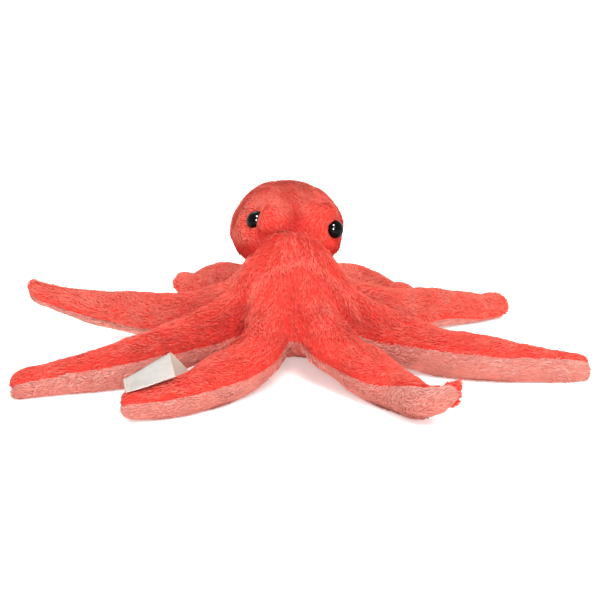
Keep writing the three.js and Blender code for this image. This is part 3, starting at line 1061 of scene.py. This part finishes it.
def body_shade(points, traits):
    """The painted shade, 0 to 1, of the body: in the valleys between two arms, which are broad
    at the sides, in the furrows and gathers, under the collar's edge, and under the arms' roots.
    It is weaker in the middle of the front and on the toy's left, which faces the key light."""
    share, _, _, valley, top = traits.T
    turn = round_trunk(points)
    facing_front = eased(np.abs(turn), 36, 46) * eased(np.abs(turn), 74, 56)
    reach = np.where(share > 0, mix(VALLEY_REACH, SIDE_REACH, facing_front), VALLEY_REACH)
    broad = eased(np.abs(valley), 0.45 - 0.4 * facing_front, 1) * hump(share, 0, reach)
    # painted shade, weaker at the front's middle and on the toy's left, towards the key light
    broad = broad * (1 - 0.6 * hump(turn, 0, 14)) * (1 - 0.5 * eased(turn, 16, 36))
    below = eased(-top, -0.1, 0.2) * hump(share, -0.25, 0.22)
    collar = hump(mantle_gap(points), -0.5, 0.8)
    lines = 0.35 * furrows(points)[1] + 0.25 * gathers(points)
    return np.clip(0.5 * broad + lines + 0.4 * collar + 0.7 * below, 0, 1)


inset(body, shallower=eased(body.traits[:, 0], SHORTER_FROM, SHORTEST_AT))
cover_traits = {"shade": body_shade(body.points, body.traits)}
body_cover = new_piece("body_cover", body.points, body.triangles, CORAL, traits=cover_traits)
panel_halves = np.array([half for _, _, half in BODY_PANELS])[body.panels]
body_cover.data.materials.append(SALMON)
body_cover.data.polygons.foreach_set("material_index", panel_halves.astype(np.int32))
arm_nodes = [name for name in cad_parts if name.startswith("arm_")]
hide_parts("trunk", *arm_nodes)
print("the body's skin stands for", 1 + len(arm_nodes), "solids")

# %% The head's skin
inset(mantle, shallower=0)
cover_traits = {"shade": face_creases(mantle.points)[2]}
head_cover = new_piece("head_cover", mantle.points, mantle.triangles, CORAL, traits=cover_traits)
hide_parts("mantle", "brow_left", "brow_right")
print("the head's skin has", len(mantle.triangles), "triangles")

# %% The body's pile
LOCKS_PER_SQUARE_MM = 1.7
LOCK_LENGTH = 3.4
LOCK_WIDTH = 0.62
LIE = math.radians(20)
LOWEST_TIP = 0.15
STREAK_WIDTH = 0.75
MEAN_TONE, STREAK_TONE, PALEST_TONE = 0.45, 0.65, 1.6
HEAD_COVERS = -3.5


def body_light(roots):
    """How much paler the pile is: painted light where it faces up, a painted highlight along the
    arch seam, and paler on the shoulders and towards the back, partly as pile brushed against
    its lie and partly as painted light."""
    behind = eased(np.abs(round_trunk(roots.place)), 60, 105)
    seam = 1.2 * hump(line_distance(roots.place, ARCH_SEAM), 0, 1.9)
    # painted light on upward faces and a painted highlight on the arch seam
    return behind + seam + 0.6 * (roots.normal[:, 2] - 0.65)


def combed(roots, length, light, seed):
    """Locks whose length, slant and sideways turn vary softly over the fabric, as brushed pile
    does, and a little from lock to lock. Pale streaks stand proud and deep ones lie low."""
    place, chance = roots.place, roots.chance
    streak = roots.streaks(STREAK_WIDTH, seed + 3)
    own_tone = 0.3 * (chance[:, 3] - 0.5)
    # the tone is random streaks and each lock's own share, plus the painted light passed in
    roots.tone = np.clip(MEAN_TONE + STREAK_TONE * streak + own_tone + light, 0, PALEST_TONE)
    sway = 0.5 * random_field(place, 15, seed) + 0.25 * random_field(place, 5, seed + 1)
    sway += 0.25 * (chance[:, 0] - 0.5)
    lie = LIE * (1 + 0.3 * streak + 0.25 * random_field(place, 7, seed + 2) + 0.2 * (chance[:, 1] - 0.5))
    lie = np.where(roots.normal[:, 2] < -0.5, 0.5 * lie, lie)
    length = length * (0.8 + 0.4 * chance[:, 2])
    width = LOCK_WIDTH * (0.75 + 0.5 * chance[:, 1])
    points = locks(roots, length, width, lie, sway)
    points[..., 2] = np.maximum(points[..., 2], LOWEST_TIP)
    return points


body_roots = Roots(body, LOCKS_PER_SQUARE_MM, seed=21)
body_roots.keep(mantle_gap(body_roots.place) > HEAD_COVERS)
body_roots.shade = body_shade(body_roots.place, body_roots.traits)
beside_seam = hump(body_roots.traits[:, 1], 0, 1.5)
towards_tip = eased(body_roots.traits[:, 0], SHORTER_FROM, SHORTEST_AT)
body_length = LOCK_LENGTH * (1 - 0.3 * beside_seam) * (1 - 0.2 * towards_tip)
body_locks = combed(body_roots, body_length, body_light(body_roots), seed=31)
FABRICS = (("top", CORAL, "plush_top"), ("under", SALMON, "plush_underside"))
panel_coats = [(name if part == "arm" else "trunk", half) for name, part, half in BODY_PANELS]
for name in ["trunk", *ARMS]:
    for half, (side, finish, slot) in enumerate(FABRICS):
        chosen = np.array([coat == (name, half) for coat in panel_coats])[body_roots.panel]
        pile_piece(f"pile_{side}_{name}", body_locks, body_roots, chosen, finish)

# %% [markdown]
# ### The head's pile
#
# It lies forward and down over the face, and fans out over the brows. One length all over would
# bury the eyes, so it is shorter near them, and none grows under them.

# %% The head's pile
HEAD_DENSITY = 1.1
BROW_EDGE = 0.15
TRUNK_COVERS = -3.0
BROW_COMBING = 1.6
TRIMMED_ROUND_EYE = 6

head_roots = Roots(mantle, LOCKS_PER_SQUARE_MM * HEAD_DENSITY, seed=41)
place = head_roots.place
head_roots.mound, head_roots.crease, head_roots.shade = face_creases(place)
head_roots.eye_gap = eye_distance(place)
bare = EYE_RADIUS - np.where(head_roots.mound > BROW_EDGE, 3.0, 0.8)
in_trunk = (trunk_gap(place) < TRUNK_COVERS) & (np.hypot(place[:, 0], place[:, 1]) < CROTCH_RADIUS)
head_roots.keep((head_roots.eye_gap > bare) & ~in_trunk)
trimmed = mix(0.5, 0.95, eased(head_roots.eye_gap, EYE_RADIUS, EYE_RADIUS + TRIMMED_ROUND_EYE))
trimmed = np.where(head_roots.mound > BROW_EDGE, 0.9, trimmed)
head_length = LOCK_LENGTH * trimmed * (1 - 0.5 * np.clip(head_roots.crease, 0, 1))
head_roots.nap = unit(head_roots.nap + BROW_COMBING * brow_fan(head_roots.place))
# painted light: the head's pile is paler where it faces up and where it faces the toy's right
from_above, from_right = head_roots.normal[:, 2], -head_roots.normal[:, 0]
head_light = 0.8 * eased(from_above, 0.3, 0.9) + 0.8 * eased(from_right, 0.3, 0.9)
head_locks = combed(head_roots, head_length, head_light, seed=51)
everywhere = np.full(len(head_locks), True)
pile_piece("pile_head", head_locks, head_roots, everywhere, CORAL)

# %% [markdown]
# ## The eyes
#
# Each eye is a moulded dome of black plastic, like a button, with a low rim that sits in the pile.
# A squashed ball could pass for it from afar, but the rim catches the light, so a profile with a
# rim and a flat back is carried round the eye's axis.

# %% Eyes
EYE_DOME = 3.6
EYE_SUNK = 1.4
EYE_STEPS = 28
EYE_TURNS = 64
RIM_RADII, RIM_HEIGHTS = [1.0, 0.97, 0.9, 0.0], [-0.5, -0.9, -1.4, -1.4]

black = Finish("black_plastic")
smears = black.ramp(black.noise(900), 0.45, 0.75)
EYE_PLASTIC = black.shade(
    Base_Color=black.blend(smears, dye(7, 6, 6), dye(12, 11, 11)),
    Roughness=0.03 + 0.04 * smears,
    Specular_IOR_Level=0.07,
)


def eye_piece(side):
    """A dome with radius cos(rise) and height sin(rise), above a rim and a flat back."""
    place, across, lengthwise, out = mantle_frame(*EYE_PLACES[side])
    rise = np.linspace(math.pi / 2, 0, EYE_STEPS)
    radius = EYE_RADIUS * np.concatenate([np.cos(rise), RIM_RADII])[:, None]
    radius[0] = 0
    height = np.concatenate([EYE_DOME * np.sin(rise), RIM_HEIGHTS])[:, None]
    turn = np.linspace(2 * math.pi, 0, EYE_TURNS + 1)[None, :]
    grid = (
        place
        - EYE_SUNK * out
        + (radius * np.cos(turn))[..., None] * across
        + (radius * np.sin(turn))[..., None] * lengthwise
        + height[..., None] * out
    )
    shape = plain_skin(grid)
    piece = new_piece(f"bead_eye_{side}", shape.points, shape.triangles, EYE_PLASTIC)
    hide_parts(f"eye_{side}")
    print(piece.name, "at", np.round(place, 1).tolist())


for side in EYE_PLACES:
    eye_piece(side)

# %% [markdown]
# ## The label
#
# A short length of satin tape is folded in two, and both its ends are caught in the seam of one
# arm. The back layer stands up from the seam, and the front one comes over the fold and hangs
# down. It carries no print here. Two flat plates would show a hard edge at the fold, so the tape
# is one sheet with a bend like a hyperbola's, and a Solidify modifier gives it its thickness. Its
# weave follows its own UV map, in millimetres.

# %% The tape's shape
LABEL_ARM = ARMS["front_right"]
LABEL_STRETCH = (0.5, 0.8)
LABEL_BACK = np.array([[-10.1, -14.4, 17.1], [-13.9, -7.0, 11.2]])
LABEL_FRONT = np.array([[4.4, -15.8, -8.2], [2.7, -11.2, -3.6]])
LABEL_BEND = 0.12
LABEL_BELLY = 0.5
LABEL_RIPPLE = 0.25
LABEL_CLEARANCE = 1.2
LABEL_THICKNESS = 0.32
LABEL_ROWS, LABEL_COLUMNS = 72, 36


def label_point(across, along):
    """The tape from its sewn foot, along = 0, up its back layer, over the fold at 0.5 and down its
    front layer to 1. The two layers are the limbs of a hyperbola, and the tape bellies a little
    between its edges."""
    from_fold = 2 * along - 1
    bend = np.hypot(from_fold, LABEL_BEND) - LABEL_BEND
    rise, fall = 1 - (bend - from_fold) / 2, (bend + from_fold) / 2
    share = mix(*LABEL_STRETCH, across)
    seam = arm_ring(LABEL_ARM, share.reshape(-1, 1), np.full((1, 1), math.pi))
    foot = seam.reshape(*share.shape, 3) + [0, LABEL_CLEARANCE, 0]
    up, down = mix(*LABEL_BACK, across[..., None]), mix(*LABEL_FRONT, across[..., None])
    tape = foot + up * rise[..., None] + down * fall[..., None]
    facing = unit(np.cross(np.gradient(tape, axis=1), np.gradient(tape, axis=0)))
    belly = LABEL_BELLY * np.sin(np.pi * across) * np.sin(2 * np.pi * along)
    return tape + facing * (belly + LABEL_RIPPLE * random_field(tape, 9, 61))[..., None]


along, across = np.meshgrid(
    np.linspace(0, 1, LABEL_ROWS + 1), np.linspace(0, 1, LABEL_COLUMNS + 1), indexing="ij"
)
label_grid = label_point(across, along)
label_width = np.linalg.norm(np.diff(label_grid, axis=1), axis=2).sum(axis=1).mean()
label_length = np.linalg.norm(np.diff(label_grid, axis=0), axis=2).sum(axis=0).mean()
print("label's flat size in mm:", round(label_width, 1), "by", round(label_length, 1))

# %% The tape's finish
THREADS_PER_MM = 2.2
WARP_SHARE = 0.65
EDGE_START, EDGE_END = 0.9, 0.3

satin = Finish("satin_tape")
tape_map = satin.node("ShaderNodeUVMap", {"uv_map": "tape"})
weave = satin.node("ShaderNodeSeparateXYZ", {}, {0: tape_map})
rise = satin.node("ShaderNodeSeparateXYZ", {}, {0: tape_map}, output=1)
thread = satin.sine(rise * (2 * math.pi * THREADS_PER_MM))
warp = satin.sine(weave * (WARP_SHARE * 2 * math.pi * THREADS_PER_MM))
worn = satin.ramp(satin.noise(160, 3.0), 0.42, 0.7)
far_edge = satin.ramp(weave, label_width - EDGE_START, label_width - EDGE_END)
edge = satin.ramp(weave, EDGE_START, EDGE_END) + far_edge
cloth = satin.blend(worn, dye(122, 122, 114), dye(115, 115, 106))
cloth = satin.blend(0.5 + 0.5 * thread, cloth, satin.blend(0.3, cloth, dye(92, 90, 81)))
SATIN = satin.shade(
    Base_Color=satin.blend(0.35 * edge, cloth, dye(141, 139, 131)),
    Roughness=0.5 + 0.1 * worn,
    Specular_IOR_Level=0.3,
    Subsurface_Weight=1.0,
    Subsurface_Radius=(1.0, 0.8, 0.7),
    Subsurface_Scale=0.004,
    Normal=satin.bump(thread + 0.5 * warp + 2.0 * edge, 0.05 * MM, 0.6),
)

# %% The tape's piece
tape = plain_skin(label_grid, np.stack([across * label_width, along * label_length], axis=-1))
uv = ("tape", tape.charts.reshape(-1, 2))
label = new_piece("tape_label", tape.points, tape.triangles, SATIN, uv=uv)
thickness = label.modifiers.new("thickness", "SOLIDIFY")
thickness.thickness = LABEL_THICKNESS * MM
thickness.offset = 0
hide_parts("label")
print("the label has", len(tape.triangles), "triangles before its thickness")

# %% [markdown]
# ## The studio
#
# The toy lies on a plain pale floor that rises far away into a backdrop all round, so that every
# view has the same quiet background, which a flat floor would not give. The light is soft: a wide
# panel high in front, a weaker one behind, and two small ones that put the points of light in the
# eyes. The paper glows a little, so that its shadows are faint.

# %% Floor and backdrop
FLOOR_RADIUS = 6
BACKDROP_RADIUS = 12
BACKDROP_HEIGHT = 4
BACKDROP_POWER = 2.2
FLOOR_RINGS, FLOOR_TURNS = 60, 96

turn = np.linspace(2 * math.pi, 0, FLOOR_TURNS + 1)[None, :]
reach = np.linspace(0, BACKDROP_RADIUS, FLOOR_RINGS)[:, None]
climb = np.clip((reach - FLOOR_RADIUS) / (BACKDROP_RADIUS - FLOOR_RADIUS), 0, 1) ** BACKDROP_POWER
height = BACKDROP_HEIGHT * climb * np.ones_like(turn)
floor_grid = np.stack([reach * np.sin(turn), reach * np.cos(turn), height], axis=-1)
floor_shape = plain_skin(floor_grid / MM)
paper = Finish("paper")
PAPER = paper.shade(
    Base_Color=paper.blend(paper.noise(30, 3.0), dye(246, 246, 246), dye(249, 249, 249)),
    Roughness=0.9,
    Emission_Color=(1, 1, 1, 1),
    Emission_Strength=0.32,
)
floor = new_object("floor", new_mesh("floor", floor_shape.points * MM, floor_shape.triangles, PAPER))
print("the backdrop rises to", BACKDROP_HEIGHT, "m")


# %% Lights
def soft_light(name, azimuth, elevation, distance, size, watts):
    """A square panel of this size, in metres, aimed at the toy from this direction in degrees."""
    lamp = bpy.data.lights.new(name, "AREA")
    lamp.size = size
    lamp.energy = watts
    light = new_object(name, lamp)
    rise = math.radians(elevation)
    way = plan_direction(azimuth) * math.cos(rise) + np.array([0, 0, math.sin(rise)])
    light.location = AIM_POINT + distance * way
    light.rotation_euler = (math.pi / 2 - rise, 0, math.radians(azimuth))
    return light


soft_light("key", azimuth=16, elevation=46, distance=1.5, size=0.7, watts=21.5)
soft_light("rim", azimuth=200, elevation=50, distance=1.5, size=0.9, watts=10)
for name, elevation in (("low_spark", 20), ("high_spark", 67)):
    spark = soft_light(name, azimuth=0, elevation=elevation, distance=0.9, size=0.22, watts=80)
    spark.visible_diffuse = False

world = bpy.data.worlds.new("studio")
world.use_nodes = True
sky = world.node_tree.nodes["Background"]
sky.inputs["Color"].default_value = (1, 1, 1, 1)
sky.inputs["Strength"].default_value = 0.8
bpy.context.scene.world = world
bpy.context.scene.view_settings.view_transform = "Standard"

# %% [markdown]
# ## The end
